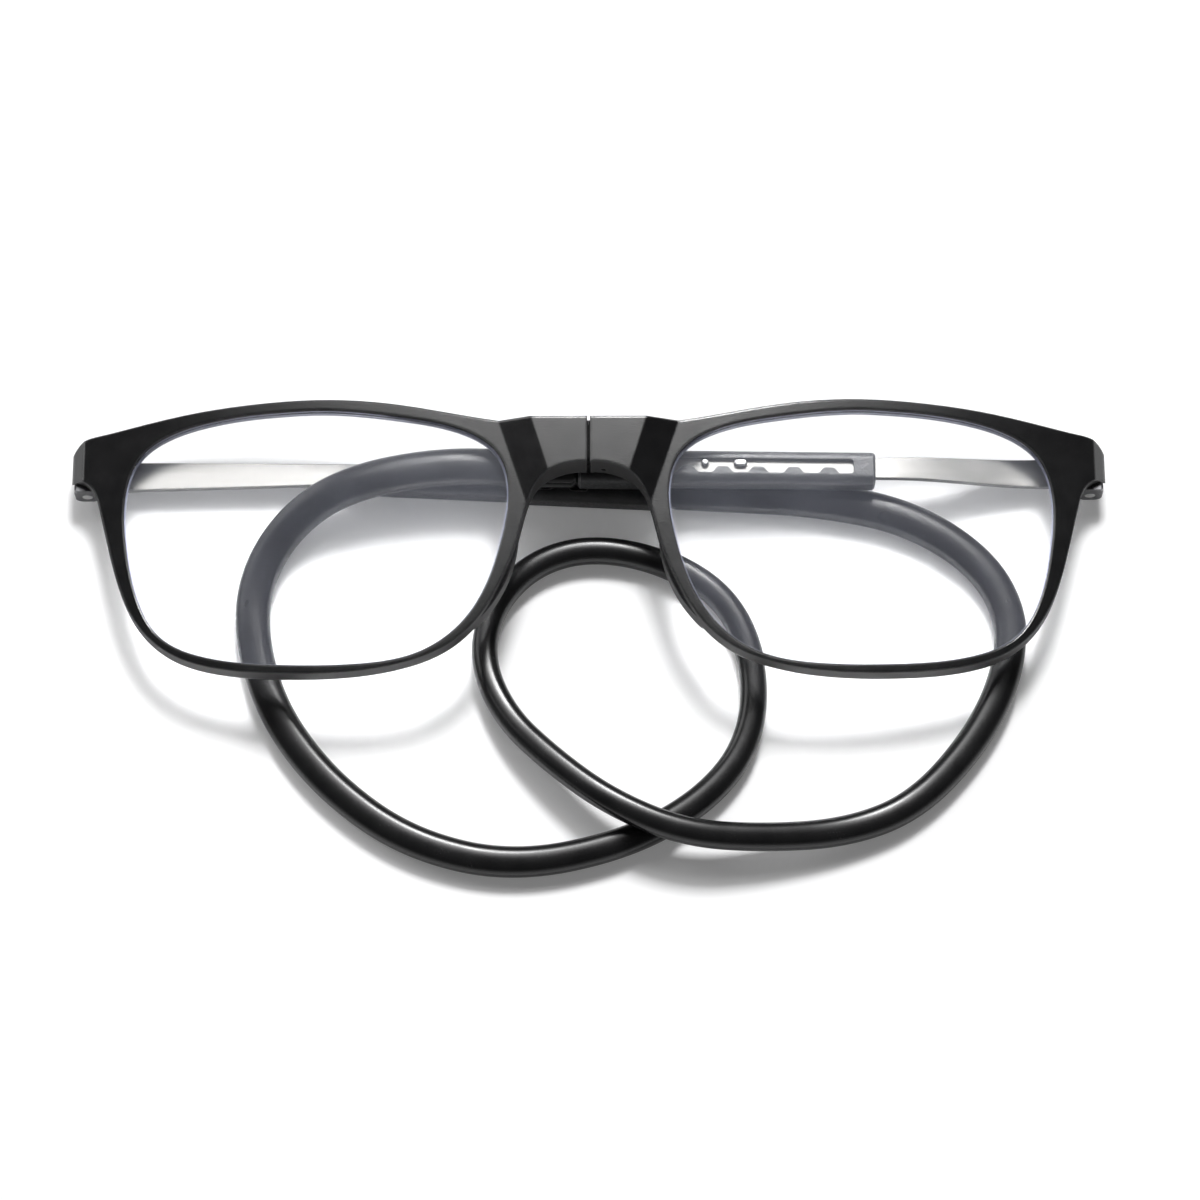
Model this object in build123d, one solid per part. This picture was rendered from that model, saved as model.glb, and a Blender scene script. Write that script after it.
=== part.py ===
from build123d import *
import math
import os

# Magnetic bridge reading glasses, folded and lying face up.
# X runs along the front, towards the viewer's right. Y runs from the lower rims to the brow.
# Z is up from the table. The origin is under the middle of the front, at table height.
# The left half mirrors the right one, so both are built with X positive.

# Front: two lenses, the bridge between them and an end piece beyond each
lens_width = 53.2
lens_height = 37.56
lens_centre_y = -0.2
bridge_width = 22.0
end_width = 7.85
seam_gap = 0.4
front_height = 12.4
wrap_drop = 5.85
rim_depth = 2.8

# Points of the front as shares, across and up. Across is -2 at the seam, -1 and 1 at the two
# sides of the lens opening, and 2 at the end. Up is -1 and 1 at the opening's foot and top.
opening_shares = [
    (0.08, 1.0), (0.353, 0.982), (0.579, 0.936), (0.767, 0.856), (0.917, 0.708), (1.0, 0.4),
    (0.989, 0.0), (0.917, -0.437), (0.789, -0.74), (0.56, -0.905), (0.165, -0.988),
    (-0.229, -0.996), (-0.541, -0.916), (-0.752, -0.708), (-0.88, -0.426), (-0.966, -0.043),
    (-0.998, 0.346), (-0.94, 0.628), (-0.756, 0.815), (-0.455, 0.924), (-0.18, 0.982),
]
bridge_corner_shares = (-0.947, 0.876)
brow_shares = [
    (-0.707, 0.94), (-0.436, 1.017), (-0.173, 1.065), (0.053, 1.078), (0.335, 1.062),
    (0.617, 1.02), (0.917, 0.942), (1.484, 0.876), (1.79, 0.84), (1.955, 0.776),
]
end_top_share = 0.68
end_lip_share = 0.522
cheek_shares = [
    (1.815, 0.525), (1.624, 0.468), (1.478, 0.32), (1.306, 0.032), (1.013, -0.383),
    (0.887, -0.679), (0.722, -0.879), (0.485, -0.998), (0.165, -1.052), (-0.173, -1.054),
    (-0.455, -0.996), (-0.68, -0.871), (-0.842, -0.666), (-0.962, -0.373), (-1.1, -0.08),
    (-1.227, 0.213), (-1.373, 0.389), (-1.636, 0.49),
]
arch_share = 0.517

# Lens
lens_thickness = 1.8
lens_inset = 0.5
lens_tongue = 0.45
lens_tongue_depth = 1.0
groove_clearance = 0.05
lens_fit = 0.03

# Bridge block
bridge_rise = 1.6
bridge_flat_half = 8.05
bridge_keystone_slope = 0.305

# Magnets and the bumps that line the halves up
magnet_diameter = 3.4
magnet_length = 2.6
magnet_recess = 0.1
magnet_clearance = 0.04
magnet_drop = 3.4
bump_diameter = 0.9
bump_length = 1.9
bump_reach = 0.3
bump_spread = 2.55
dimple_depth = 0.5
dimple_clearance = 0.1
vent_diameter = 0.7
vent_depth = 1.2
vent_from_seam = 1.9
vent_share = 0.25

# Nose pad moulded on the back of the rim: its middle line in the same shares, from its foot up
pad_line_shares = [(-0.821, -0.639), (-0.955, -0.369), (-1.055, -0.027)]
pad_width = 1.4
pad_front = 1.2
pad_back = 4.2
pad_round = 0.4

# End piece
end_facet_run = 1.7
end_facet_drop = 1.35
seat_margin = 0.3
seat_clearance = 0.02

# Hinge
hinge_inset = 2.05
hinge_share = 0.631
hinge_z = 2.7
hinge_height = 5.9
ear_height = 1.4
knuckle_radius = 1.5
knuckle_side_gap = 0.1
knuckle_running = 0.05
leaf_gap = 0.15
leaf_thickness = 0.6
leaf_inner = 3.1
leaf_outer = 1.4
ear_inner = 1.6
ear_outer = 1.7
ear_below = 1.6
ear_round = 1.1
screw_diameter = 1.4
screw_fit = 0.02
screw_head_diameter = 2.2
screw_head_height = 0.45
screw_slot_width = 0.35
screw_slot_depth = 0.2
arm_length = 5.6
arm_end_gap = 2.0
arm_wall = 0.4
arm_thickness = 1.8
arm_grip = 3.0
arm_bevel = 0.3

# Temple strip
strip_thickness = 0.9
strip_slide_height = 2.9
strip_hinge_height = 4.1
strip_straight_out = 1.2
strip_tip_round = 0.8

# Studs on the strip
stud_diameter = 1.05
stud_long = 1.9
stud_height = 0.6
stud_from_tip = 6.6
stud_crown = 0.2
rivet_diameter = 0.6

# Sleeve
sleeve_length = 41.2
sleeve_width = 4.8
sleeve_depth = 4.0
sleeve_round = 1.2
sleeve_end_bevel = 0.3
channel_clearance = 0.1
channel_rise = 0.9
channel_end_wall = 5.0
notch_pitch = 4.9
notch_count = 6
notch_depth = 0.85
first_notch = 4.0
slot_mouth_wall = 3.0
slot_tail = 3.7
slot_offset = 0.4
slot_round = 0.5
stud_clearance = 0.075
tooth_crown = 1.4
tooth_foot = 2.9

# Where each sleeve lies: how far its band end is past the middle, below the hinge's line and
# above the table, its heading in plan and its dip towards the hinge.
# The round stud's notch is counted from the mouth, and the long stud sits in the one before.
right_end_past = 1.5
right_end_below = 0.45
right_end_height = 6.5
right_yaw = -0.4
right_dip = 1.03
right_stud_notch = 4
left_end_past = 11.3
left_end_below = 2.15
left_end_height = sleeve_depth / 2
left_yaw = 2.9
left_dip = 0.0
left_stud_notch = 2

# Band plug
plug_radius = 0.9
plug_barb = 0.35
plug_in_sleeve = 3.0
plug_in_band = 7.0
plug_clearance = 0.02
barb_count = 2

# Neck band, from the right sleeve to the left one
band_diameter = 4.0
band_on_table = band_diameter / 2
band_over_sleeve = 6.7
band_leaving = 6.1
band_falling = 3.4
band_hump = 6.5
band_hump_foot = 3.0
right_band_lead = 8.0
left_band_lead = 9.0
band_route = [
    (-21.5, 11.5, band_over_sleeve), (-34.2, 8.9, band_leaving), (-42.0, 4.0, band_falling),
    (-46.4, -4.0, band_on_table), (-46.4, -13.5, band_on_table), (-42.8, -24.0, band_on_table),
    (-35.2, -33.8, band_on_table), (-24.4, -41.6, band_on_table), (-10.5, -45.0, band_on_table),
    (5.0, -41.8, band_on_table), (16.0, -35.4, band_on_table), (22.2, -27.0, band_on_table),
    (23.0, -16.0, band_on_table), (19.2, -6.4, band_on_table), (10.6, -0.6, band_on_table),
    (0.4, 1.5, band_on_table), (-7.8, -0.9, band_on_table), (-13.4, -7.2, band_on_table),
    (-14.9, -15.2, band_on_table), (-11.6, -23.6, band_on_table), (-5.0, -30.6, band_hump_foot),
    (2.8, -36.9, band_hump), (12.6, -41.2, band_hump), (23.0, -41.6, band_hump_foot),
    (35.0, -40.3, band_on_table), (44.5, -36.4, band_on_table), (52.6, -27.6, band_on_table),
    (57.4, -18.4, band_on_table), (58.6, -9.6, band_on_table), (54.6, -1.2, band_on_table),
    (44.6, 5.6, band_on_table), (32.0, 8.3, band_on_table),
]
run_share = 0.45

# Overrun of every cutting solid
overrun = 10.0

half_gap = seam_gap / 2
half_lens_width = lens_width / 2
half_lens_height = lens_height / 2
half_bridge = bridge_width / 2
lens_centre_x = half_bridge + half_lens_width
half_width = half_bridge + lens_width + end_width
front_width = 2 * half_width
hinge_x = half_width - hinge_inset
hinge_y = lens_centre_y + hinge_share * half_lens_height
wrap_radius = (hinge_x**2 + wrap_drop**2) / (2 * wrap_drop)
rim_back_z = front_height - rim_depth
block_front_z = front_height + bridge_rise
tongue_front = lens_inset + (lens_thickness - lens_tongue_depth) / 2
leaf_bottom_z = hinge_z + knuckle_radius + leaf_gap
leaf_top_z = leaf_bottom_z + leaf_thickness
knuckle_height = hinge_height - 2 * (ear_height + knuckle_side_gap)
arm_width = strip_hinge_height + 2 * arm_wall
magnet_pocket_depth = magnet_length + magnet_recess
channel_width = strip_slide_height + 2 * channel_clearance
slot_width = stud_diameter + 2 * stud_clearance
channel_depth = strip_thickness + 2 * channel_clearance
wrap_middle = Pos(0, 0, front_height - wrap_radius)


def place(shares):
    """A point of the front, from its shares across and up."""
    across, up = shares
    x = lens_centre_x + max(-1, min(across, 1)) * half_lens_width
    x += max(across - 1, 0) * end_width + min(across + 1, 0) * half_bridge
    return (x, at_height(up))


def at_height(share):
    """The Y of a share of half the lens opening's height."""
    return lens_centre_y + share * half_lens_height


def front_z(x):
    """Height of the front surface at a distance from the seam."""
    return front_height - wrap_radius + math.sqrt(wrap_radius**2 - x**2)


def layer(front, back):
    """The curved layer between two depths behind the front surface."""
    outer = Cylinder(wrap_radius - front, front_width, rotation=(90, 0, 0))
    inner = Cylinder(wrap_radius - back, front_width, rotation=(90, 0, 0))
    return wrap_middle * (outer - inner)


def prism(face):
    """A column over a plan outline, higher than the front."""
    return extrude(face, amount=block_front_z + overrun)


def opening_face(push):
    """The lens opening in plan, grown by push all round; its points go round clockwise."""
    points = [Vector(*place(shares)) for shares in opening_shares]
    grown = []
    for index, point in enumerate(points):
        chord = points[(index + 1) % len(points)] - points[index - 1]
        outward = Vector(-chord.Y, chord.X).normalized()
        grown.append(point + outward * push)
    return make_face(Spline(grown, periodic=True))


def outline_face():
    """The outer outline of half the front in plan."""
    corner = place(bridge_corner_shares)
    seam_top = (half_gap, corner[1])
    seam_foot = (half_gap, at_height(arch_share))
    end_top = (half_width, at_height(end_top_share))
    end_lip = (half_width, at_height(end_lip_share))
    brow = [corner] + [place(shares) for shares in brow_shares] + [end_top]
    cheek = [end_lip] + [place(shares) for shares in cheek_shares] + [seam_foot]
    edges = [
        Line(seam_top, corner), Spline(brow), Line(end_top, end_lip),
        Spline(cheek), Line(seam_foot, seam_top),
    ]
    return make_face(edges)


def bridge_block(outline):
    """The raised keystone beside the seam, with its slanted side facet."""
    facet_foot, top = place(bridge_corner_shares)
    section = Polyline(
        (0, rim_back_z), (0, block_front_z), (bridge_flat_half, block_front_z),
        (facet_foot, front_z(facet_foot)), (facet_foot, rim_back_z), close=True,
    )
    face = Pos(0, top, 0) * (Plane.XZ * make_face(section))
    lean = Vector(-bridge_keystone_slope, -1, 0)
    stone = extrude(face, amount=half_lens_height, dir=lean.normalized())
    return stone & prism(outline)


def nose_pad():
    """The swelling on the back of the rim that rests on the nose."""
    middle_line = ThreePointArc(*[place(shares) for shares in pad_line_shares])
    pad = prism(SlotArc(middle_line, pad_width)) & layer(pad_front, pad_back)
    return fillet(pad.faces().sort_by(Axis.Z)[0].edges(), pad_round)


def rim():
    """Half of the front: rim, nose pad, bridge block and end piece, without its inserts."""
    outline = outline_face()
    body = prism(outline) & layer(0, rim_depth)
    body += bridge_block(outline)
    body += nose_pad()
    body -= prism(opening_face(0))
    tongue_back = tongue_front + lens_tongue_depth
    groove = layer(tongue_front - groove_clearance, tongue_back + groove_clearance)
    body -= prism(opening_face(lens_tongue + groove_clearance)) & groove
    # Facet along the outer edge
    inner = Vector(half_width - end_facet_run, 0, front_z(half_width - end_facet_run))
    outer = Vector(half_width, 0, front_z(half_width) - end_facet_drop)
    along = (outer - inner).normalized()
    outward = Vector(-along.Z, 0, along.X)
    first = inner - along * overrun
    last = outer + along * overrun
    facet = Polyline(first, last, last + outward * overrun, first + outward * overrun, close=True)
    body -= extrude(make_face(facet), amount=front_width, both=True, dir=(0, 1, 0))
    # Seat of the hinge leaf
    seat = Box(half_width, front_width, leaf_top_z, align=(Align.MIN, Align.CENTER, Align.MIN))
    body -= Pos(hinge_x - leaf_inner - seat_margin, 0, 0) * seat
    # Pocket of the magnet
    pocket = Cylinder(magnet_diameter / 2 + magnet_clearance, 2 * magnet_pocket_depth, rotation=(0, 90, 0))
    return body - magnet_place() * pocket


def magnet_place():
    """The middle of the magnet's pocket mouth on the seam."""
    middle_z = (rim_back_z + block_front_z) / 2
    return Pos(half_gap, place(bridge_corner_shares)[1] - magnet_drop, middle_z)


def bump_places():
    """Where the two bumps stand on the seam, above and below the magnet."""
    return [magnet_place() * Pos(0, side * bump_spread, 0) for side in (-1, 1)]


def magnet():
    disc = Cylinder(magnet_diameter / 2, magnet_length, rotation=(0, 90, 0))
    return magnet_place() * Pos(magnet_recess + magnet_length / 2, 0, 0) * disc


def bumps():
    """Two domed bumps that stand out of the left half's seam face."""
    pin = Cylinder(bump_diameter / 2, bump_length, rotation=(0, 90, 0))
    pin = fillet(pin.faces().sort_by(Axis.X)[0].edges(), bump_reach)
    middle = bump_length / 2 - bump_reach
    return [place_on_seam * Pos(middle, 0, 0) * pin for place_on_seam in bump_places()]


def dimples():
    """Two dimples in the right half's seam face and the vent under its arch."""
    hollow = Cylinder(bump_diameter / 2 + dimple_clearance, 2 * dimple_depth, rotation=(0, 90, 0))
    hollows = [place_on_seam * hollow for place_on_seam in bump_places()]
    vent_z = rim_back_z + vent_share * (block_front_z - rim_back_z)
    vent = Cylinder(vent_diameter / 2, 2 * vent_depth, rotation=(90, 0, 0))
    hollows.append(Pos(half_gap + vent_from_seam, at_height(arch_share), vent_z) * vent)
    return hollows


def lens():
    """A lens with the tongue that sits in the rim's groove."""
    glass = prism(opening_face(-lens_fit)) & layer(lens_inset, lens_inset + lens_thickness)
    tongue = prism(opening_face(lens_tongue)) & layer(tongue_front, tongue_front + lens_tongue_depth)
    return glass + tongue


hinge_place = Pos(hinge_x, hinge_y, hinge_z)


def rim_hinge():
    """The leaf in the end piece with its two ears."""
    leaf_length = leaf_inner + leaf_outer
    leaf_height = leaf_thickness - seat_clearance
    leaf = Box(leaf_length, hinge_height, leaf_height, align=(Align.MIN, Align.CENTER, Align.MIN))
    hinge = Pos(-leaf_inner, 0, leaf_bottom_z - hinge_z) * leaf
    ear_rise = leaf_bottom_z - hinge_z + ear_below
    ear = Box(ear_inner + ear_outer, ear_height, ear_rise, align=(Align.MIN, Align.MIN, Align.MIN))
    ear = fillet(ear.edges().filter_by(Axis.Y).group_by(Axis.Z)[0], ear_round)
    for start in (-hinge_height / 2, hinge_height / 2 - ear_height):
        hinge += Pos(-ear_inner, start, -ear_below) * ear
    bore = Cylinder(screw_diameter / 2 + screw_fit, hinge_height + overrun, rotation=(90, 0, 0))
    return hinge_place * (hinge - bore)


def hinge_screw():
    """The slotted screw through both ears, its head at the brow side."""
    shank = Cylinder(screw_diameter / 2, hinge_height, rotation=(90, 0, 0))
    head_middle = (hinge_height + screw_head_height) / 2
    head = Cylinder(screw_head_diameter / 2, screw_head_height, rotation=(90, 0, 0))
    slot_middle = hinge_height / 2 + screw_head_height
    slot = Pos(0, slot_middle, 0) * Box(2 * screw_head_diameter, 2 * screw_slot_depth, screw_slot_width)
    return hinge_place * (shank + Pos(0, head_middle, 0) * head - slot)


def temple_hinge(strip):
    """The knuckle between the ears and the block that grips the strip's end."""
    knuckle = Cylinder(knuckle_radius, knuckle_height, rotation=(90, 0, 0))
    web = Box(arm_end_gap, knuckle_height, arm_thickness, align=(Align.MAX, Align.CENTER, Align.CENTER))
    block_length = arm_length - arm_end_gap
    block = Box(block_length, arm_width, arm_thickness, align=(Align.MAX, Align.CENTER, Align.CENTER))
    block = chamfer(block.edges().filter_by(Axis.X), arm_bevel)
    bore = Cylinder(screw_diameter / 2 + knuckle_running, hinge_height, rotation=(90, 0, 0))
    hinge = knuckle + web + Pos(-arm_end_gap, 0, 0) * block - bore
    return hinge_place * hinge - strip


def heading(yaw, dip):
    """The direction from a sleeve's band end to its mouth."""
    flat = math.cos(math.radians(dip))
    turn = math.radians(yaw)
    return Vector(flat * math.cos(turn), flat * math.sin(turn), -math.sin(math.radians(dip)))


def sleeve_frame(band_end, yaw, dip):
    """The sleeve's own frame: origin in its mouth, X towards the hinge, Z up."""
    ahead = heading(yaw, dip)
    side = Vector(-math.sin(math.radians(yaw)), math.cos(math.radians(yaw)), 0)
    return Plane(origin=Vector(*band_end) + ahead * sleeve_length, x_dir=ahead, z_dir=ahead.cross(side))


def in_frame(frame, shape):
    """Moves a shape from a sleeve's own frame to where the sleeve lies."""
    return frame.location * shape


def stud_middle(notch):
    """The X of a stud in a notch counted from the mouth, in the sleeve's own frame."""
    return -first_notch - notch * notch_pitch


def studs(frame, notch):
    """A round stud and a long one, each riveted through the strip."""
    plans = [
        Pos(stud_middle(notch), slot_offset) * Circle(stud_diameter / 2),
        Pos(stud_middle(notch - 1), slot_offset) * SlotOverall(stud_long, stud_diameter),
    ]
    made = []
    for plan in plans:
        stud = Pos(0, 0, channel_rise + strip_thickness / 2) * extrude(plan, amount=stud_height)
        stud = fillet(stud.faces().sort_by(Axis.Z)[-1].edges(), stud_crown)
        middle = plan.center()
        rivet = Pos(middle.X, middle.Y, channel_rise) * Cylinder(rivet_diameter / 2, strip_thickness)
        made.append(in_frame(frame, stud + rivet))
    return made


def strip(frame, dip, notch):
    """The flat metal strip: straight where it slides, then sloping to the hinge."""
    hinge = frame.to_local_coords(Vector(hinge_x, hinge_y, hinge_z))
    level = Vector(math.cos(math.radians(dip)), 0, math.sin(math.radians(dip)))
    tip = stud_middle(notch) - stud_from_tip
    grip_start = hinge - level * arm_length
    grip_end = grip_start + level * arm_grip
    slide_foot = -strip_slide_height / 2
    slide_top = strip_slide_height / 2
    hinge_foot = hinge.Y - strip_hinge_height / 2
    hinge_top = hinge.Y + strip_hinge_height / 2
    plan = Polyline(
        (tip, slide_foot), (strip_straight_out, slide_foot), (grip_start.X, hinge_foot),
        (grip_end.X, hinge_foot), (grip_end.X, hinge_top), (grip_start.X, hinge_top),
        (strip_straight_out, slide_top), (tip, slide_top), close=True,
    )
    plan = make_face(plan)
    plan = fillet(plan.vertices().group_by(Axis.X)[0], strip_tip_round)
    edges = []
    ends = []
    for side in (-1, 1):
        shift = side * strip_thickness / 2
        tip_point = (tip, channel_rise + shift)
        mouth_point = (strip_straight_out, channel_rise + shift)
        start_point = (grip_start.X, grip_start.Z + shift)
        end_point = (grip_end.X, grip_end.Z + shift)
        edges.append(Line(tip_point, mouth_point))
        edges.append(Spline(mouth_point, start_point, tangents=((1, 0), (level.X, level.Z))))
        edges.append(Line(start_point, end_point))
        ends.append((tip_point, end_point))
    edges.append(Line(ends[0][0], ends[1][0]))
    edges.append(Line(ends[0][1], ends[1][1]))
    profile = Plane.XZ * make_face(edges)
    blade = extrude(plan, amount=overrun, both=True) & extrude(profile, amount=overrun, both=True)
    return in_frame(frame, blade)


def sleeve(frame):
    """The slotted sleeve with its toothed slot, its channel and the bore for the plug."""
    section = Plane.YZ * RectangleRounded(sleeve_width, sleeve_depth, sleeve_round)
    case = extrude(section, amount=-sleeve_length)
    case = chamfer(case.faces().sort_by(Axis.X)[0].edges(), sleeve_end_bevel)
    case = chamfer(case.faces().sort_by(Axis.X)[-1].edges(), sleeve_end_bevel)
    channel_length = sleeve_length - channel_end_wall
    channel = Box(channel_length, channel_width, channel_depth)
    channel = Pos(-channel_length / 2, 0, channel_rise) * channel
    # The slot: an even lane for the studs, with notches opening off its lower side
    last_notch = -first_notch - (notch_count - 1) * notch_pitch
    slot_end = last_notch - slot_tail
    slot_length = -slot_mouth_wall - slot_end
    slot_middle = slot_end + slot_length / 2
    lane = Pos(slot_middle, slot_offset) * RectangleRounded(slot_length, slot_width, slot_round)
    lane_top = slot_offset + slot_width / 2
    tooth_top = slot_offset - slot_width / 2
    notch_floor = tooth_top - notch_depth
    whole_height = slot_width + notch_depth
    whole_middle = (lane_top + notch_floor) / 2
    bounds = Pos(slot_middle, whole_middle) * RectangleRounded(slot_length, whole_height, slot_round)
    half_floor = (notch_pitch - tooth_foot) / 2
    half_mouth = (notch_pitch - tooth_crown) / 2
    notch = make_face(Polyline(
        (-half_floor, notch_floor), (half_floor, notch_floor), (half_mouth, tooth_top),
        (half_mouth, lane_top), (-half_mouth, lane_top), (-half_mouth, tooth_top), close=True,
    ))
    slot = lane
    for index in range(notch_count):
        slot += Pos(-first_notch - index * notch_pitch, 0) * notch
    slot &= bounds
    return in_frame(frame, case - channel - extrude(slot, amount=sleeve_depth))


def plug_axis(frame):
    """The place and direction in which the band leaves a sleeve."""
    away = frame.x_dir * -1
    return Plane(origin=frame.origin + away * sleeve_length, x_dir=frame.y_dir, z_dir=away)


def plug(frame):
    """A pin with barbs: its smooth end in the sleeve, its barbed end in the band."""
    outline = [(0, -plug_in_sleeve), (plug_radius, -plug_in_sleeve), (plug_radius, 0)]
    barb_length = plug_in_band / barb_count
    for index in range(barb_count):
        start = index * barb_length
        outline.append((plug_radius + plug_barb, start))
        outline.append((plug_radius, start + barb_length))
    outline.append((0, plug_in_band))
    face = Plane.XZ * make_face(Polyline(*outline, close=True))
    return plug_axis(frame).location * revolve(face, Axis.Z)


def plug_bore(frame):
    """The bore in the sleeve's band end."""
    bore = Cylinder(plug_radius + plug_clearance, 2 * (plug_in_sleeve + plug_clearance))
    return plug_axis(frame).location * bore


def neck_band(start, end):
    """The band from one plug to the other: straight runs joined by tangent arcs."""
    first = start.origin
    last = end.origin
    points = [Vector(*point) for point in band_route]
    points = [first, first + start.z_dir * right_band_lead] + points
    points += [last + end.z_dir * left_band_lead, last]
    radii = []
    for before, point, after in zip(points, points[1:], points[2:]):
        turn = (point - before).get_angle(after - point)
        shorter = min((point - before).length, (after - point).length)
        radii.append(run_share * shorter / math.tan(math.radians(turn / 2)))
    route = FilletPolyline(*points, radius=radii)
    print("band length", round(route.length, 1), "radii", [round(radius, 1) for radius in radii])
    section = Plane(origin=route @ 0, z_dir=route % 0) * Circle(band_diameter / 2)
    return sweep(section, path=route)


def mirrored(shape):
    return mirror(shape, about=Plane.YZ)


def mirrored_axis(axis):
    place, way = axis.origin, axis.z_dir
    return Plane(origin=(-place.X, place.Y, place.Z), z_dir=(-way.X, way.Y, way.Z))


parts = {}

# Both halves of the front
plain_rim = rim()
parts["right_rim"] = plain_rim - dimples()
parts["left_rim"] = mirrored(plain_rim - bumps())
parts["bridge_locating_bumps"] = Compound(children=[mirrored(bump) for bump in bumps()])
parts["right_lens"] = lens()
parts["right_bridge_magnet"] = magnet()
parts["right_rim_hinge"] = rim_hinge()
parts["right_hinge_screw"] = hinge_screw()
for name in ("lens", "bridge_magnet", "rim_hinge", "hinge_screw"):
    parts["left_" + name] = mirrored(parts["right_" + name])

# Both temples, each with its own pose
right_band_end = (-right_end_past, hinge_y - right_end_below, right_end_height)
left_band_end = (-left_end_past, hinge_y - left_end_below, left_end_height)
right_frame = sleeve_frame(right_band_end, right_yaw, right_dip)
left_frame = sleeve_frame(left_band_end, left_yaw, left_dip)
temples = {
    "right": (right_frame, right_dip, right_stud_notch),
    "left": (left_frame, left_dip, left_stud_notch),
}
for side, (frame, dip, notch) in temples.items():
    both_studs = studs(frame, notch)
    blade = strip(frame, dip, notch) - both_studs
    pieces = {
        "temple_strip": blade,
        "strip_studs": Compound(children=both_studs),
        "temple_hinge": temple_hinge(blade),
        "sleeve": sleeve(frame) - plug_bore(frame),
        "band_plug": plug(frame),
    }
    for name, piece in pieces.items():
        parts[side + "_" + name] = piece if side == "right" else mirrored(piece)

# Neck band
band = neck_band(plug_axis(right_frame), mirrored_axis(plug_axis(left_frame)))
parts["neck_band"] = band - parts["right_band_plug"] - parts["left_band_plug"]

os.makedirs("parts", exist_ok=True)
for name, piece in parts.items():
    export_step(piece, "parts/" + name + ".step")
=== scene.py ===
import math

import bpy
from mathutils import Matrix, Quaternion, Vector


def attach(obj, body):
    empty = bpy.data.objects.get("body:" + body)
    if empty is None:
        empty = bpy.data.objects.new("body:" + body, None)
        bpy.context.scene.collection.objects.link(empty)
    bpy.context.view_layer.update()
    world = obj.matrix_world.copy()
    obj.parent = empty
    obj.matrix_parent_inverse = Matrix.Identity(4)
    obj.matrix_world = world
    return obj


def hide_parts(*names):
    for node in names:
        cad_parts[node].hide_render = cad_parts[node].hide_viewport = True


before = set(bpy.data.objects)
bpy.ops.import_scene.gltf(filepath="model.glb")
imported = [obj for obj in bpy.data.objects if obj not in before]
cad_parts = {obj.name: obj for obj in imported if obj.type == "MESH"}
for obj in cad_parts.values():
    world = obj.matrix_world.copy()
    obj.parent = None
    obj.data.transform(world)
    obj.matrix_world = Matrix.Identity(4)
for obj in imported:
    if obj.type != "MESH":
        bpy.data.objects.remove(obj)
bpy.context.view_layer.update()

MM = 0.001


def mm(*numbers):
    """Millimetres to metres."""
    return Vector(numbers) * MM


def smooth(share):
    """An even rise from 0 to 1."""
    share = max(0.0, min(1.0, share))
    return share * share * (3 - 2 * share)


# Shader nodes

# Which inputs and which output a Mix node uses, by the kind of value it mixes
MIX_SOCKETS = {"FLOAT": (2, 3, 0), "RGBA": (6, 7, 2)}


def clear_tree(owner):
    """The emptied node tree of a material or world."""
    owner.use_nodes = True
    owner.node_tree.nodes.clear()
    return owner.node_tree


def fill(tree, socket, value):
    """Links a socket to its source, or writes a number, vector or colour on it."""
    if isinstance(value, bpy.types.NodeSocket):
        tree.links.new(value, socket)
    elif socket.type == "RGBA":
        socket.default_value = (*value, 1)
    else:
        socket.default_value = value


def add(tree, kind, **values):
    """A new node with its properties, and its inputs' values or sources, set by name."""
    node = tree.nodes.new(kind)
    for name, value in values.items():
        if hasattr(node, name):
            setattr(node, name, value)
        else:
            fill(tree, node.inputs[name.replace("_", " ")], value)
    return node


def fill_in_order(tree, node, *values):
    """Fills a node's first inputs, one after the other, and returns its first output."""
    for socket, value in zip(node.inputs, values):
        fill(tree, socket, value)
    return node.outputs[0]


def maths(tree, operation, *values):
    return fill_in_order(tree, add(tree, "ShaderNodeMath", operation=operation), *values)


def product(tree, first, *others):
    for other in others:
        first = maths(tree, "MULTIPLY", first, other)
    return first


def spread(tree, value, low, high, start=0.3, end=0.7, easing="LINEAR"):
    """Maps a value from start to end, by default a noise's middle range, to one from low to high."""
    node = add(tree, "ShaderNodeMapRange", interpolation_type=easing)
    return fill_in_order(tree, node, value, start, end, low, high)


def fade(tree, value, edge, low=0.0, high=1.0):
    """Eases from low to high across an edge, given by its start and end."""
    return spread(tree, value, low, high, *edge, easing="SMOOTHSTEP")


def blend(tree, kind, share, first, second):
    """The mix of two numbers, kind FLOAT, or of two colours, kind RGBA."""
    node = add(tree, "ShaderNodeMix", data_type=kind, Factor=share)
    first_input, second_input, output = MIX_SOCKETS[kind]
    fill(tree, node.inputs[first_input], first)
    fill(tree, node.inputs[second_input], second)
    return node.outputs[output]


def mix_shaders(tree, share, first, second):
    return fill_in_order(tree, add(tree, "ShaderNodeMixShader"), share, first, second)


def noise(tree, size, stretch=(1, 1, 1), detail=3.0):
    """A noise whose lumps are about size metres across, drawn out along an axis by stretch."""
    place = add(tree, "ShaderNodeTexCoord")
    mapping = add(
        tree, "ShaderNodeMapping", vector_type="TEXTURE", Scale=stretch, Vector=place.outputs["Object"])
    lumps = add(
        tree, "ShaderNodeTexNoise", Scale=1 / size, Detail=detail, Vector=mapping.outputs["Vector"])
    return lumps.outputs["Fac"]


# Finishes

# Cosine between the rounded and the flat normal, where the mask of the edges is full and where it ends
EDGE_MASK = (0.86, 0.985)
BEVEL_SAMPLES = 6
# The height part of a normal, up or down, where the walls end and where the faces begin
WALL_TO_FACE = (0.3, 0.75)
# The broad mottle: its size in grains of the fine one, its detail, and its share in the roughness
BROAD_GRAINS = 14
BROAD_DETAIL = 5.0
BROAD_SHARE = 0.35
# Where the broad mottle is lowest, this share of the painted edge highlight and shade is left
LEAST_EDGE_PAINT = 0.35

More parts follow.
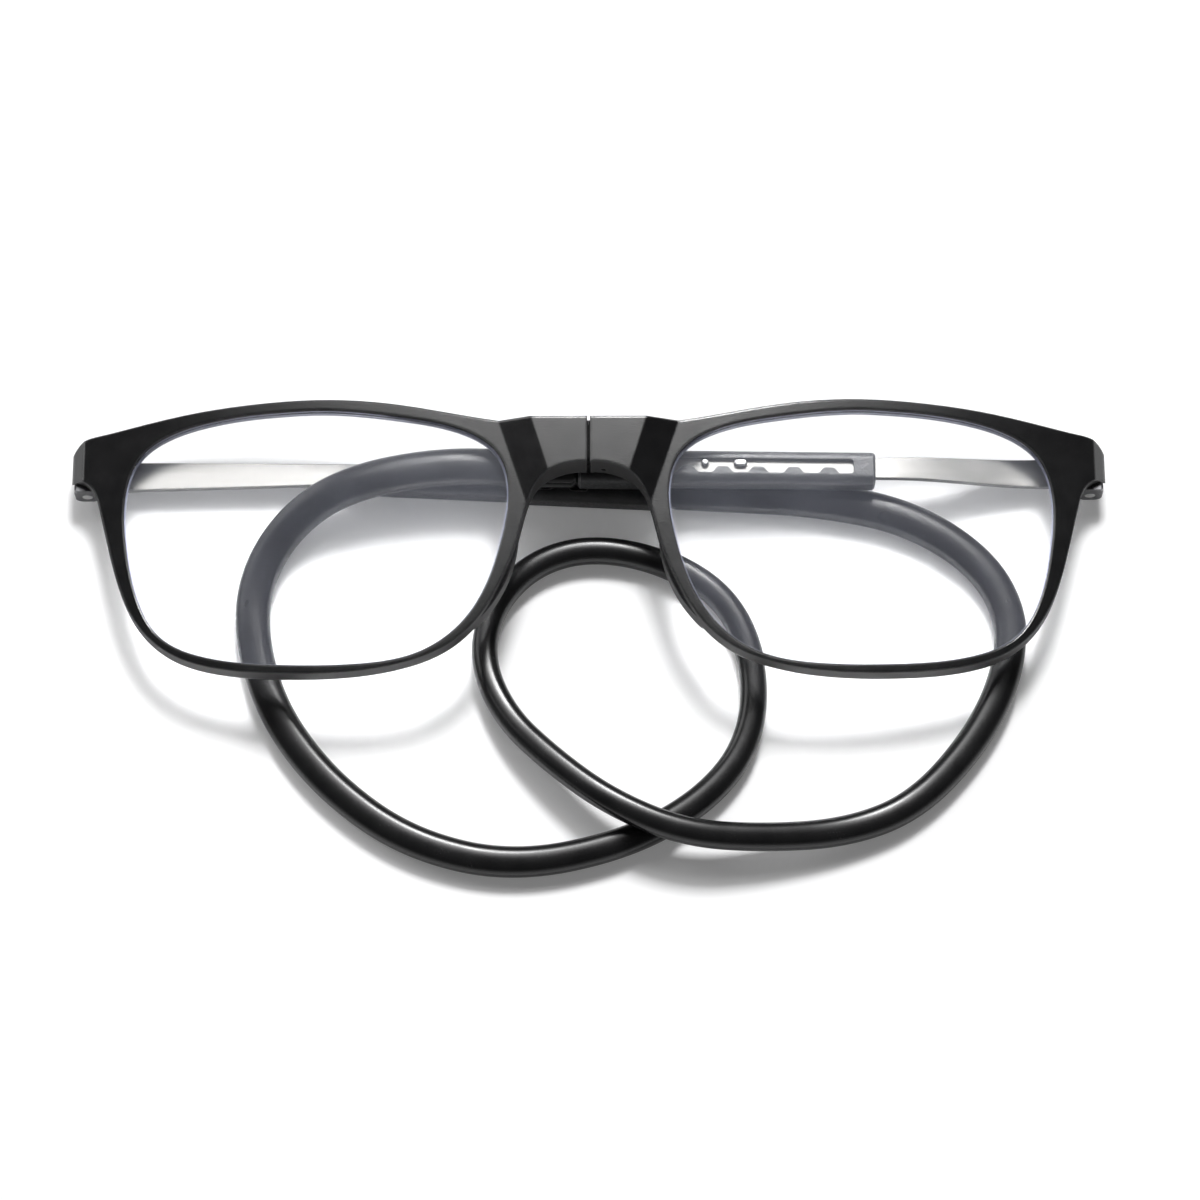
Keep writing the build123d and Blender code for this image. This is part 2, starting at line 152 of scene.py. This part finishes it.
LENS_INDEX = 1.5
LENS_SPECULAR = 0.12
LENS_REFLECTION = (0.90, 0.92, 1.0)
LENS_TINTS = ((0.98, 0.985, 0.99), (0.99, 0.99, 0.99))
# Violet painted along the lens edge: painted reflection of the coating.
LENS_RIM_PAINTED_REFLECTION = (0.48, 0.48, 0.92)
LENS_SHADOW = (0.94, 0.94, 0.945)
LENS_RIM_RADIUS = 0.5 * MM
SMUDGE_SIZE = 9 * MM
SMUDGE_DETAIL = 4.0
SMUDGE_ROUGHNESS = 0.03
# A faint blue diffuse veil, its share over the lens and its extra share on the edge band: painted
# reflection of the coating.
PAINTED_VEIL_COLOUR = (0.66, 0.70, 0.85)
PAINTED_VEIL_LEAST, PAINTED_VEIL_MOST = 0.020, 0.034
PAINTED_VEIL_ON_RIM = 0.4


def rounded_edges(tree, radius):
    """A normal that rounds the edges, and a mask that is 1 along them."""
    bevel = add(tree, "ShaderNodeBevel", samples=BEVEL_SAMPLES, Radius=radius)
    flat = add(tree, "ShaderNodeNewGeometry")
    dot = add(tree, "ShaderNodeVectorMath", operation="DOT_PRODUCT")
    fill_in_order(tree, dot, bevel.outputs[0], flat.outputs["Normal"])
    return bevel.outputs[0], spread(tree, dot.outputs["Value"], 1, 0, *EDGE_MASK)


def facing_up(tree):
    """1 on faces that look up or down in the part's own frame, and 0 on its walls."""
    place = add(tree, "ShaderNodeTexCoord")
    parts = add(tree, "ShaderNodeSeparateXYZ", Vector=place.outputs["Normal"])
    return spread(tree, maths(tree, "ABSOLUTE", parts.outputs["Z"]), 0, 1, *WALL_TO_FACE)


def solid_finish(name, dark, light, rough, grain, height, edge=None, edge_radius=0.25, metallic=0.0,
                 specular=0.5, stretch=(1, 1, 1), wall_rough=None):
    """An opaque finish: mottled colour, grain in roughness and height, and rounded edges painted in the
    edge colour: a painted highlight where lighter, painted shade where darker.

    Grain, height and edge_radius are in millimetres, and rough is the range of the roughness.
    Walls have the roughness wall_rough instead, where it is given.
    """
    material = bpy.data.materials.new(name)
    tree = clear_tree(material)
    fine = noise(tree, grain * MM, stretch)
    broad = noise(tree, BROAD_GRAINS * grain * MM, stretch, BROAD_DETAIL)
    normal, along_edges = rounded_edges(tree, edge_radius * MM)
    colour = blend(tree, "RGBA", spread(tree, broad, 0, 1), dark, light)
    if edge:
        # Paints the edge colour along the rounded edges: a painted highlight where it is lighter than
        # the body, painted shade where it is darker.
        painted_edge_light_and_shade = product(tree, along_edges, spread(tree, broad, LEAST_EDGE_PAINT, 1))
        colour = blend(tree, "RGBA", painted_edge_light_and_shade, colour, edge)
    roughness = spread(tree, blend(tree, "FLOAT", BROAD_SHARE, fine, broad), *rough)
    if wall_rough:
        glossy = maths(tree, "MAXIMUM", facing_up(tree), along_edges)
        roughness = blend(tree, "FLOAT", glossy, wall_rough, roughness)
    bump = add(tree, "ShaderNodeBump", Strength=1.0, Distance=height * MM, Height=fine, Normal=normal)
    shader = add(
        tree, "ShaderNodeBsdfPrincipled", Base_Color=colour, Metallic=metallic, Roughness=roughness,
        Specular_IOR_Level=specular, Normal=bump.outputs[0])
    add(tree, "ShaderNodeOutputMaterial", Surface=shader.outputs[0])
    return material


def lens_finish(name):
    """Clear coated lens with a real reflection, a faint blue diffuse veil that is painted reflection of
    the coating, and a violet band along its edge that is painted reflection too.
    """
    material = bpy.data.materials.new(name)
    tree = clear_tree(material)
    painted_rim_reflection_band = rounded_edges(tree, LENS_RIM_RADIUS)[1]
    smudge = noise(tree, SMUDGE_SIZE, detail=SMUDGE_DETAIL)
    tint = blend(tree, "RGBA", spread(tree, smudge, 0, 1), *LENS_TINTS)
    # Painted reflection: the coating's violet laid along the lens edge.
    tint = blend(tree, "RGBA", painted_rim_reflection_band, tint, LENS_RIM_PAINTED_REFLECTION)
    glass = add(
        tree, "ShaderNodeBsdfPrincipled", Base_Color=tint, IOR=LENS_INDEX, Transmission_Weight=1.0,
        Roughness=spread(tree, smudge, 0, SMUDGE_ROUGHNESS), Specular_IOR_Level=LENS_SPECULAR,
        Specular_Tint=LENS_REFLECTION)
    # Painted reflection: a faint blue diffuse veil, stronger on the edge band, stands in for the
    # coating's reflected light.
    painted_veil = add(tree, "ShaderNodeBsdfDiffuse", Color=PAINTED_VEIL_COLOUR)
    painted_veil_share = maths(
        tree, "ADD", spread(tree, smudge, PAINTED_VEIL_LEAST, PAINTED_VEIL_MOST),
        spread(tree, painted_rim_reflection_band, 0, PAINTED_VEIL_ON_RIM, 0, 1))
    seen = mix_shaders(tree, painted_veil_share, glass.outputs[0], painted_veil.outputs[0])
    for_shadows = add(tree, "ShaderNodeBsdfTransparent", Color=LENS_SHADOW)
    path = add(tree, "ShaderNodeLightPath")
    both = mix_shaders(tree, path.outputs["Is Shadow Ray"], seen, for_shadows.outputs[0])
    add(tree, "ShaderNodeOutputMaterial", Surface=both)
    return material


finishes = {
    # The light edge colour is a painted highlight along the rims' rounded edges.
    "front_plastic": solid_finish(
        "satin_black_plastic", dark=(0.0045, 0.0045, 0.005), light=(0.0075, 0.0075, 0.008),
        rough=(0.10, 0.16), grain=0.2, height=0.005, edge=(0.08, 0.08, 0.083), edge_radius=0.45,
        specular=0.75, wall_rough=0.62),
    # Matt, and darker than the front: the matt finish is the mating face's own, and the darker colour is
    # painted shade in the groove between the two halves.
    "seam_plastic_painted_shade": solid_finish(
        "matt_black_plastic_painted_shade", dark=(0.003, 0.003, 0.003), light=(0.005, 0.005, 0.005),
        rough=(0.60, 0.72), grain=0.2, height=0.004, specular=0.2),
    "lens": lens_finish("coated_clear_lens"),
    "magnet": solid_finish(
        "nickel_plate", dark=(0.70, 0.69, 0.66), light=(0.80, 0.79, 0.76),
        rough=(0.14, 0.26), grain=0.1, height=0.002, metallic=1.0),
    "hinge_metal": solid_finish(
        "dark_hinge_metal", dark=(0.10, 0.10, 0.105), light=(0.17, 0.17, 0.175),
        rough=(0.22, 0.38), grain=0.12, height=0.006, edge=(0.45, 0.45, 0.45), edge_radius=0.15,
        metallic=1.0),
    "screw_metal": solid_finish(
        "steel_screw", dark=(0.55, 0.55, 0.55), light=(0.68, 0.68, 0.67),
        rough=(0.16, 0.30), grain=0.08, height=0.003, edge=(0.8, 0.8, 0.8), edge_radius=0.08,
        metallic=1.0),
    # The dark edge colour is painted shade along the strips' edges.
    "strip_metal": solid_finish(
        "polished_strip_steel", dark=(0.25, 0.245, 0.235), light=(0.305, 0.30, 0.29),
        rough=(0.42, 0.54), grain=0.09, height=0.0015, edge=(0.10, 0.10, 0.105), edge_radius=0.25,
        metallic=1.0, stretch=(18, 1, 1)),
    # The dark edge colour is painted shade, a dark outline round the studs.
    "stud_metal": solid_finish(
        "chromed_stud", dark=(0.62, 0.62, 0.63), light=(0.74, 0.74, 0.74),
        rough=(0.08, 0.14), grain=0.1, height=0.001, edge=(0.06, 0.06, 0.062), edge_radius=0.16,
        metallic=1.0),
    # The light edge colour is a painted highlight along the sleeves' edges.
    "sleeve_plastic": solid_finish(
        "grained_grey_plastic", dark=(0.024, 0.025, 0.027), light=(0.046, 0.047, 0.049),
        rough=(0.25, 0.58), grain=0.36, height=0.06, edge=(0.34, 0.34, 0.345), edge_radius=0.25),
    "plug_plastic": solid_finish(
        "black_plug_plastic", dark=(0.012, 0.012, 0.013), light=(0.02, 0.02, 0.02),
        rough=(0.38, 0.52), grain=0.2, height=0.006),
    "band_rubber": solid_finish(
        "black_band_rubber", dark=(0.006, 0.006, 0.0065), light=(0.010, 0.010, 0.0105),
        rough=(0.20, 0.28), grain=0.25, height=0.0006, specular=0.36),
}

slot_of_part = {
    "rim": "front_plastic",
    "lens": "lens",
    "bridge_magnet": "magnet",
    "bridge_locating_bumps": "stud_metal",
    "rim_hinge": "hinge_metal",
    "hinge_screw": "screw_metal",
    "temple_hinge": "hinge_metal",
    "temple_strip": "strip_metal",
    "strip_studs": "stud_metal",
    "sleeve": "sleeve_plastic",
    "band_plug": "plug_plastic",
}


def dress_solids():
    """Gives every solid but the neck band its finish; the left and right ones are alike."""
    for name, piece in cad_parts.items():
        part = name.removeprefix("right_").removeprefix("left_")
        if part in slot_of_part:
            slot = slot_of_part[part]
            piece.data.materials.clear()
            piece.data.materials.append(finishes[slot])


# Neck band

# Half the band's width and height, at the sleeves and where it has thinned
BAND_WIDE, BAND_SLIM = 2.5 * MM, 1.8 * MM
BAND_TALL, BAND_LOW = 2.0 * MM, 1.8 * MM
BAND_ROUNDNESS = 0.72
BAND_SIDES = 32
BAND_END_ROUND = 0.3 * MM
SPLINE_STEPS = 16
# Distances from the band's ends where it begins to thin, and where its height and width are done
TAPER_START = 10 * MM
LOW_END = 95 * MM
SLIM_FROM_START, SLIM_FROM_FINISH = 190 * MM, 130 * MM
# The route in millimetres, from the right sleeve to the left one
band_route = [
    (-1.5, 11.2, 6.5), (-9.5, 11.256, 6.644), (-21.5, 11.5, 6.7), (-34.2, 8.9, 6.1),
    (-42.0, 4.0, 3.2), (-46.4, -4.0, 1.9), (-46.4, -13.5, 1.85), (-42.8, -24.0, 1.8),
    (-35.2, -33.8, 1.8), (-24.4, -41.6, 1.8), (-10.5, -45.0, 1.8), (5.0, -41.8, 1.8),
    (16.0, -35.4, 1.8), (22.2, -27.0, 1.8), (23.0, -16.0, 1.8), (19.2, -6.4, 1.8),
    (10.6, -0.6, 1.8), (0.4, 1.5, 1.8), (-7.8, -0.9, 1.8), (-13.4, -7.2, 1.8),
    (-14.9, -15.2, 2.0), (-11.6, -23.6, 2.9), (-5.0, -30.6, 4.5), (2.8, -36.9, 5.8),
    (12.6, -41.2, 5.7), (23.0, -41.6, 4.2), (35.0, -40.3, 2.3), (44.5, -36.4, 1.8),
    (52.6, -27.6, 1.8), (57.4, -18.4, 1.8), (58.6, -9.6, 1.85), (54.6, -1.2, 1.9),
    (44.6, 5.6, 1.95), (32.0, 8.3, 2.0), (20.288, 9.045, 2.0), (11.3, 9.5, 2.0),
]


def smooth_line(name, points):
    """The points of a smooth spline whose control points are given in millimetres."""
    curve = bpy.data.curves.new(name, "CURVE")
    curve.dimensions = "3D"
    curve.resolution_u = SPLINE_STEPS
    spline = curve.splines.new("NURBS")
    spline.points.add(len(points) - 1)
    for control, point in zip(spline.points, points):
        control.co = (*mm(*point), 1)
    spline.order_u = 3
    spline.use_endpoint_u = True
    carrier = bpy.data.objects.new(name, curve)
    mesh = bpy.data.meshes.new_from_object(carrier)
    line = [vertex.co.copy() for vertex in mesh.vertices]
    bpy.data.objects.remove(carrier)
    bpy.data.meshes.remove(mesh)
    return line


def show(name, mesh, finish):
    """An object in the scene that carries the mesh in one finish."""
    mesh.materials.append(finish)
    piece = bpy.data.objects.new(name, mesh)
    bpy.context.scene.collection.objects.link(piece)
    return piece


def smooth_mesh(name, vertices, faces):
    mesh = bpy.data.meshes.new(name)
    mesh.from_pydata(vertices, [], faces)
    mesh.polygons.foreach_set("use_smooth", [True] * len(mesh.polygons))
    return mesh


def lofted_rings(name, rings):
    """A closed skin over rings of points, with a flat fan on each end."""
    count = len(rings[0])
    vertices = [point for ring in rings for point in ring]
    faces = []
    for index in range(len(rings) - 1):
        low, high = index * count, (index + 1) * count
        for step in range(count):
            after = (step + 1) % count
            faces.append((low + step, low + after, high + after, high + step))
    for ring, start in ((rings[0], 0), (rings[-1], (len(rings) - 1) * count)):
        vertices.append(sum(ring, Vector()) / count)
        for step in range(count):
            pair = (start + step, start + (step + 1) % count)
            faces.append((*(pair if start else pair[::-1]), len(vertices) - 1))
    return smooth_mesh(name, vertices, faces)


def flattened(share):
    """Draws a circle's sine or cosine out towards a square with rounded corners."""
    return math.copysign(abs(share) ** BAND_ROUNDNESS, share)


def taper(travelled, end):
    """0 near the band's end and 1 from the given distance on."""
    return smooth((travelled - TAPER_START) / (end - TAPER_START))


def band_section(from_start, from_finish):
    """Half the band's width and height at these distances from its two ends."""
    nearest = min(from_start, from_finish)
    slim = min(taper(from_start, SLIM_FROM_START), taper(from_finish, SLIM_FROM_FINISH))
    wide = BAND_WIDE + (BAND_SLIM - BAND_WIDE) * slim
    tall = BAND_TALL + (BAND_LOW - BAND_TALL) * taper(nearest, LOW_END)
    if nearest < BAND_END_ROUND:
        shrink = BAND_END_ROUND * (1 - math.sqrt(1 - (1 - nearest / BAND_END_ROUND) ** 2))
        wide -= shrink
        tall -= shrink
    return wide, tall


def make_band():
    """A soft-cornered oval tube, widest at the sleeves, that follows the route's spline."""
    line = smooth_line("band_line", band_route)
    travelled = [0.0]
    for before, point in zip(line, line[1:]):
        travelled.append(travelled[-1] + (point - before).length)
    rings = []
    for index, point in enumerate(line):
        ahead = (line[min(index + 1, len(line) - 1)] - line[max(index - 1, 0)]).normalized()
        side = Vector((0, 0, 1)).cross(ahead).normalized()
        rise = ahead.cross(side)
        wide, tall = band_section(travelled[index], travelled[-1] - travelled[index])
        ring = []
        for step in range(BAND_SIDES):
            turn = 2 * math.pi * step / BAND_SIDES
            across = side * wide * flattened(math.cos(turn))
            ring.append(point + across + rise * tall * flattened(math.sin(turn)))
        rings.append(ring)
    band = show("neck_band_skin", lofted_rings("neck_band_skin", rings), finishes["band_rubber"])
    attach(band, "band")
    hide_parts("neck_band")


# Mating faces of the bridge, in millimetres

# The bridge block's corners in Y and Z, and how far inside them the face stays
SEAM_LOW, SEAM_HIGH = (9.51, 9.6), (16.25, 14.0)
SHOULDER = 0.4
SEAM_CORNER = 0.35
CORNER_STEPS = 8
# The face's thickness, the slit between the two, and the rounding of its edges
SEAM_PLATE, SEAM_SLIT = 0.225, 0.01
SEAM_EDGE = 0.04
MAGNET_AT = (12.85, 11.8)
MAGNET_RADIUS = 1.7
MAGNET_SIDES = 40
BUMP_SPREAD = 2.55
DIMPLE_RADIUS = 0.55
DIMPLE_SIDES = 24


def ring_of_points(middle, radius, count):
    turns = [2 * math.pi * step / count for step in range(count)]
    return [(middle[0] + radius * math.cos(turn), middle[1] + radius * math.sin(turn)) for turn in turns]


def rounded_rectangle(low, high, radius):
    """Outline points of a rectangle whose corners are rounded."""
    left, right = low[0] + radius, high[0] - radius
    foot, top = low[1] + radius, high[1] - radius
    points = []
    for quarter, (x, y) in enumerate(((right, top), (left, top), (left, foot), (right, foot))):
        for step in range(CORNER_STEPS + 1):
            turn = math.pi / 2 * (quarter + step / CORNER_STEPS)
            points.append((x + radius * math.cos(turn), y + radius * math.sin(turn)))
    return points


def plate_mesh(name, outlines, thickness, edge):
    """A flat plate with rounded edges, all in metres: the first outline is its rim, others are holes."""
    curve = bpy.data.curves.new(name, "CURVE")
    curve.dimensions = "2D"
    curve.fill_mode = "BOTH"
    curve.extrude = thickness / 2 - edge
    curve.bevel_depth = edge
    curve.bevel_resolution = 2
    curve.offset = -edge
    for outline in outlines:
        spline = curve.splines.new("POLY")
        spline.points.add(len(outline) - 1)
        for control, (x, y) in zip(spline.points, outline):
            control.co = (x, y, 0, 1)
        spline.use_cyclic_u = True
    carrier = bpy.data.objects.new(name, curve)
    mesh = bpy.data.meshes.new_from_object(carrier)
    bpy.data.objects.remove(carrier)
    return mesh


def make_seam_face(side):
    """The raised face on which one half meets the other, with holes for the magnet and the bumps."""
    name = ("right" if side > 0 else "left") + "_seam_face"
    low = [number + SHOULDER for number in SEAM_LOW]
    high = [number - SHOULDER for number in SEAM_HIGH]
    outlines = [
        rounded_rectangle(low, high, SEAM_CORNER),
        ring_of_points(MAGNET_AT, MAGNET_RADIUS, MAGNET_SIDES),
    ]
    for way in (-1, 1):
        bump_at = (MAGNET_AT[0] + way * BUMP_SPREAD, MAGNET_AT[1])
        outlines.append(ring_of_points(bump_at, DIMPLE_RADIUS, DIMPLE_SIDES))
    outlines = [[(x * MM, y * MM) for x, y in outline] for outline in outlines]
    mesh = plate_mesh(name, outlines, SEAM_PLATE * MM, SEAM_EDGE * MM)
    middle = side * (SEAM_PLATE / 2 + SEAM_SLIT / 2) * MM
    for vertex in mesh.vertices:
        across, up, out = vertex.co
        vertex.co = (middle + out, across, up)
    face = show(name, mesh, finishes["seam_plastic_painted_shade"])
    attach(face, "right_front" if side > 0 else "left_front")


# Floor, light and camera, in metres and degrees

FLOOR_REACH = 6.0
FLOOR_COLOUR = (0.9, 0.9, 0.905)
FLOOR_GLOW = 0.13

# The window above the brow. Its soft edges are given in the parts of a direction: the sides in X,
# either way, the foot and top in Y, and the rise in Z
WINDOW_LIGHT = 5.2
WINDOW_SIDES = (0.08, 0.36)
WINDOW_FOOT = (0.36, 0.415)
WINDOW_TOP = (0.52, 0.70)
WINDOW_RISE = (0.2, 0.4)
# The window at the left: its inner and outer edge in X, and its foot in Y
SIDE_LIGHT = 3.0
SIDE_INNER = (-0.60, -0.46)
SIDE_OUTER = (-0.90, -0.74)
SIDE_FOOT = (0.20, 0.30)
# The room's light low down and high up, and where one turns into the other in Z
WALL_LIGHT = 0.5
CEILING_LIGHT = 0.06
WALL_TOP = (0.15, 0.5)

# The key lamp; azimuth 0 is the brow side
KEY_AZIMUTH = 6
KEY_ELEVATION = 53
KEY_DISTANCE = 0.9
KEY_SIZE = 0.19
KEY_WATTS = 7.7

VIEW_TARGET = mm(1.54, -8.6, 8.0)
VIEW_ELEVATION = 70.0
VIEW_DISTANCE = 0.6
VIEW_ROLL = -0.1
# The camera's own two numbers are in millimetres
FOCAL_LENGTH = 131.2
SENSOR_WIDTH = 36


def floor_finish():
    """Pale and matte, with a glow for the eye, reflections and glass; it still takes the shadow."""
    material = bpy.data.materials.new("pale_floor")
    tree = clear_tree(material)
    matte = add(tree, "ShaderNodeBsdfDiffuse", Color=FLOOR_COLOUR)
    path = add(tree, "ShaderNodeLightPath")
    seen = path.outputs["Is Camera Ray"]
    for other in ("Is Glossy Ray", "Is Transmission Ray"):
        seen = maths(tree, "MAXIMUM", seen, path.outputs[other])
    glow = add(tree, "ShaderNodeEmission", Strength=maths(tree, "MULTIPLY", seen, FLOOR_GLOW))
    both = fill_in_order(tree, add(tree, "ShaderNodeAddShader"), matte.outputs[0], glow.outputs[0])
    add(tree, "ShaderNodeOutputMaterial", Surface=both)
    return material


def make_floor():
    corners = [(x * FLOOR_REACH, y * FLOOR_REACH, 0) for x, y in ((-1, -1), (1, -1), (1, 1), (-1, 1))]
    floor = show("floor", smooth_mesh("floor", corners, [(0, 1, 2, 3)]), floor_finish())


def make_world():
    """A dim room, brighter low down, with a wide window above the brow and another at the left."""
    world = bpy.data.worlds.new("studio")
    tree = clear_tree(world)
    place = add(tree, "ShaderNodeTexCoord")
    x, y, z = add(tree, "ShaderNodeSeparateXYZ", Vector=place.outputs["Generated"]).outputs
    window = product(
        tree, fade(tree, maths(tree, "ABSOLUTE", x), WINDOW_SIDES, 1.0, 0.0),
        fade(tree, y, WINDOW_FOOT), fade(tree, y, WINDOW_TOP, 1.0, 0.0),
        fade(tree, z, WINDOW_RISE, 0.0, WINDOW_LIGHT))
    side = product(
        tree, fade(tree, x, SIDE_INNER, SIDE_LIGHT, 0.0), fade(tree, x, SIDE_OUTER),
        fade(tree, y, SIDE_FOOT))
    room = fade(tree, z, WALL_TOP, WALL_LIGHT, CEILING_LIGHT)
    light = maths(tree, "ADD", window, maths(tree, "ADD", room, side))
    background = add(tree, "ShaderNodeBackground", Color=light)
    add(tree, "ShaderNodeOutputWorld", Surface=background.outputs[0])
    bpy.context.scene.world = world


def make_key_lamp():
    """A soft square panel that faces the object."""
    lamp = bpy.data.lights.new("key_panel", "AREA")
    lamp.shape = "SQUARE"
    lamp.size = KEY_SIZE
    lamp.energy = KEY_WATTS
    turn, rise = math.radians(KEY_AZIMUTH), math.radians(KEY_ELEVATION)
    away = Vector((math.sin(turn) * math.cos(rise), math.cos(turn) * math.cos(rise), math.sin(rise)))
    panel = bpy.data.objects.new("key_panel", lamp)
    panel.location = VIEW_TARGET + away * KEY_DISTANCE
    panel.rotation_mode = "QUATERNION"
    panel.rotation_quaternion = away.to_track_quat("Z", "Y")
    bpy.context.scene.collection.objects.link(panel)


def make_camera():
    lens = bpy.data.cameras.new("camera")
    lens.lens = FOCAL_LENGTH
    lens.sensor_width = SENSOR_WIDTH
    camera = bpy.data.objects.new("camera", lens)
    rise = math.radians(VIEW_ELEVATION)
    away = Vector((0, -math.cos(rise), math.sin(rise)))
    camera.location = VIEW_TARGET + away * VIEW_DISTANCE
    camera.rotation_mode = "QUATERNION"
    roll = Quaternion((0, 0, 1), math.radians(VIEW_ROLL))
    camera.rotation_quaternion = (-away).to_track_quat("-Z", "Y") @ roll
    bpy.context.scene.collection.objects.link(camera)
    bpy.context.scene.camera = camera


dress_solids()
make_band()
for side in (-1, 1):
    make_seam_face(side)
make_floor()
make_world()
make_key_lamp()
make_camera()
bpy.context.scene.view_settings.view_transform = "Standard"
